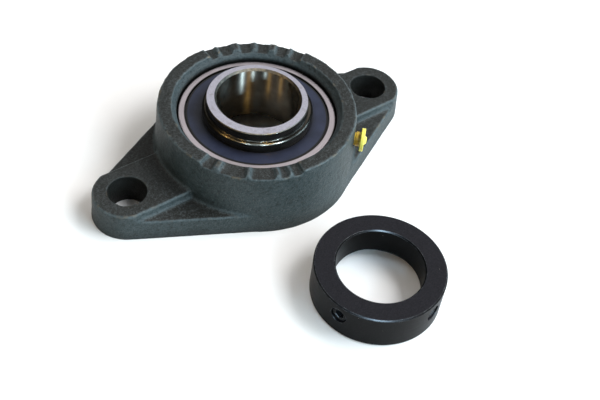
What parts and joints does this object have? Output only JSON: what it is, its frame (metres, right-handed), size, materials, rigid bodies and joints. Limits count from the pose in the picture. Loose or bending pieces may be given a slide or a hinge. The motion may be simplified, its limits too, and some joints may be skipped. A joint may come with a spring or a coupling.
{
  "type": "flange mount bearing",
  "caption": "Two-bolt oval flange bearing unit: cast housing, self-aligning ball bearing insert with an eccentric cam, and its loose locking collar with set screws.",
  "frame": {"origin": "centre of the two bolt holes on the mounting face, which is also where the shaft axis crosses it", "axes": "+Z along the shaft axis, out of the mounting face towards the cam end; +X through the two bolt holes; the loose collar lies towards -Y"},
  "size_m": [0.1786, 0.1796, 0.0402],
  "materials": {
    "painted_casting": "satin paint on sand-cast iron",
    "plug_plastic": "soft moulded plastic",
    "ground_steel": "ground",
    "polished_steel": "polished, ground end face",
    "ball_steel": "polished bearing steel",
    "cage_steel": "pressed sheet",
    "seal_steel": "pressed sheet",
    "seal_rubber": "matte",
    "coated_flinger": "dark blue-black coating",
    "black_oxide": "black oxide, lightly oiled"
  },
  "bodies": {
    "housing": {"housing": "painted_casting"},
    "plug": {"grease_plug": "plug_plastic"},
    "outer": {"outer_ring": "ground_steel", "front_seal_shell": "seal_steel", "back_seal_shell": "seal_steel", "front_seal_lip": "seal_rubber", "back_seal_lip": "seal_rubber"},
    "inner": {"inner_ring": "polished_steel", "front_flinger": "coated_flinger", "back_flinger": "coated_flinger"},
    "cage": {"cage_front": "cage_steel", "cage_back": "cage_steel", "cage_rivets": "cage_steel"},
    "ball_1": {"ball_1": "ball_steel"},
    "ball_2": {"ball_2": "ball_steel"},
    "ball_3": {"ball_3": "ball_steel"},
    "ball_4": {"ball_4": "ball_steel"},
    "ball_5": {"ball_5": "ball_steel"},
    "ball_6": {"ball_6": "ball_steel"},
    "ball_7": {"ball_7": "ball_steel"},
    "ball_8": {"ball_8": "ball_steel"},
    "ball_9": {"ball_9": "ball_steel"},
    "collar": {"locking_collar": "black_oxide"},
    "screw_1": {"set_screw_1": "black_oxide"},
    "screw_2": {"set_screw_2": "black_oxide"}
  },
  "joints": [
    {"name": "insert_tilt", "type": "hinge", "parent": "housing", "child": "outer", "pos_m": [0, 0, 0.021], "axis": [1, 0, 0], "range_deg": [-2, 2]},
    {"name": "shaft_spin", "type": "hinge", "parent": "outer", "child": "inner", "pos_m": [0, 0, 0.021], "axis": [0, 0, 1], "continuous": true},
    {"name": "cage_spin", "type": "hinge", "parent": "outer", "child": "cage", "pos_m": [0, 0, 0.021], "axis": [0, 0, 1], "continuous": true},
    {"name": "ball_1_spin", "type": "hinge", "parent": "cage", "child": "ball_1", "pos_m": [0.03, 0, 0.021], "axis": [0, 0, 1], "continuous": true},
    {"name": "ball_2_spin", "type": "hinge", "parent": "cage", "child": "ball_2", "pos_m": [0.02298, 0.01928, 0.021], "axis": [0, 0, 1], "continuous": true},
    {"name": "ball_3_spin", "type": "hinge", "parent": "cage", "child": "ball_3", "pos_m": [0.00521, 0.02954, 0.021], "axis": [0, 0, 1], "continuous": true},
    {"name": "ball_4_spin", "type": "hinge", "parent": "cage", "child": "ball_4", "pos_m": [-0.015, 0.02598, 0.021], "axis": [0, 0, 1], "continuous": true},
    {"name": "ball_5_spin", "type": "hinge", "parent": "cage", "child": "ball_5", "pos_m": [-0.02819, 0.01026, 0.021], "axis": [0, 0, 1], "continuous": true},
    {"name": "ball_6_spin", "type": "hinge", "parent": "cage", "child": "ball_6", "pos_m": [-0.02819, -0.01026, 0.021], "axis": [0, 0, 1], "continuous": true},
    {"name": "ball_7_spin", "type": "hinge", "parent": "cage", "child": "ball_7", "pos_m": [-0.015, -0.02598, 0.021], "axis": [0, 0, 1], "continuous": true},
    {"name": "ball_8_spin", "type": "hinge", "parent": "cage", "child": "ball_8", "pos_m": [0.00521, -0.02954, 0.021], "axis": [0, 0, 1], "continuous": true},
    {"name": "ball_9_spin", "type": "hinge", "parent": "cage", "child": "ball_9", "pos_m": [0.02298, -0.01928, 0.021], "axis": [0, 0, 1], "continuous": true},
    {"name": "plug_pull", "type": "slide", "parent": "housing", "child": "plug", "axis": [0.7071, -0.7071, 0], "range_m": [0, 0.012]},
    {"name": "collar_lift", "type": "slide", "parent": "housing", "child": "collar", "axis": [0, 0, 1], "range_m": [0, 0.06]},
    {"name": "set_screw_1_drive", "type": "slide", "parent": "collar", "child": "screw_1", "axis": [-0.9659, -0.2588, 0], "range_m": [-0.0019, 0.004]},
    {"name": "set_screw_2_drive", "type": "slide", "parent": "collar", "child": "screw_2", "axis": [0.2419, -0.9703, 0], "range_m": [-0.0019, 0.004]}
  ],
  "couplings": [
    {"joint": "cage_spin", "follows": "shaft_spin", "ratio": 0.4008},
    {"joint": "ball_1_spin", "follows": "shaft_spin", "ratio": -2.4216},
    {"joint": "ball_2_spin", "follows": "shaft_spin", "ratio": -2.4216},
    {"joint": "ball_3_spin", "follows": "shaft_spin", "ratio": -2.4216},
    {"joint": "ball_4_spin", "follows": "shaft_spin", "ratio": -2.4216},
    {"joint": "ball_5_spin", "follows": "shaft_spin", "ratio": -2.4216},
    {"joint": "ball_6_spin", "follows": "shaft_spin", "ratio": -2.4216},
    {"joint": "ball_7_spin", "follows": "shaft_spin", "ratio": -2.4216},
    {"joint": "ball_8_spin", "follows": "shaft_spin", "ratio": -2.4216},
    {"joint": "ball_9_spin", "follows": "shaft_spin", "ratio": -2.4216}
  ]
}
